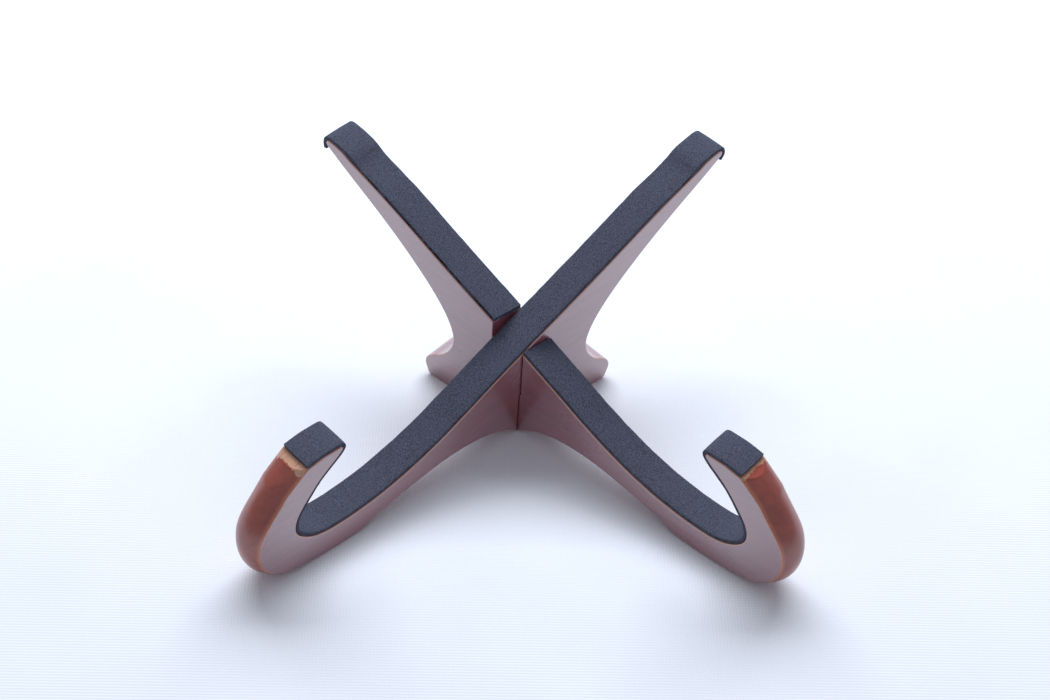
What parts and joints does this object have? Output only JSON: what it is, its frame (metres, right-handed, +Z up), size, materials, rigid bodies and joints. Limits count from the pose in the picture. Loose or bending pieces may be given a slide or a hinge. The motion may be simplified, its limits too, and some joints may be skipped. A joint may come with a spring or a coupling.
{
  "type": "violin stand",
  "caption": "Slot-together X stand of hooked wooden boards with foam padding, which cradles a violin or ukulele and lifts apart to store flat.",
  "frame": {"origin": "where the axis on which the two boards cross meets the table, on the underside of the base board", "axes": "+Z up, +Y towards the back, where the long arms lean; the two hooks point towards -Y"},
  "size_m": [0.2142, 0.1682, 0.0937],
  "materials": {
    "wood": "satin",
    "foam": "matte"
  },
  "bodies": {
    "base": {"base_board": "wood", "lower_foam_strip": "foam", "upper_foam_strip": "foam"},
    "lifting": {"lifting_board": "wood", "long_foam_strip": "foam"}
  },
  "joints": [
    {"name": "lift_apart", "type": "slide", "parent": "base", "child": "lifting", "axis": [0, 0, 1], "range_m": [0, 0.056]}
  ]
}
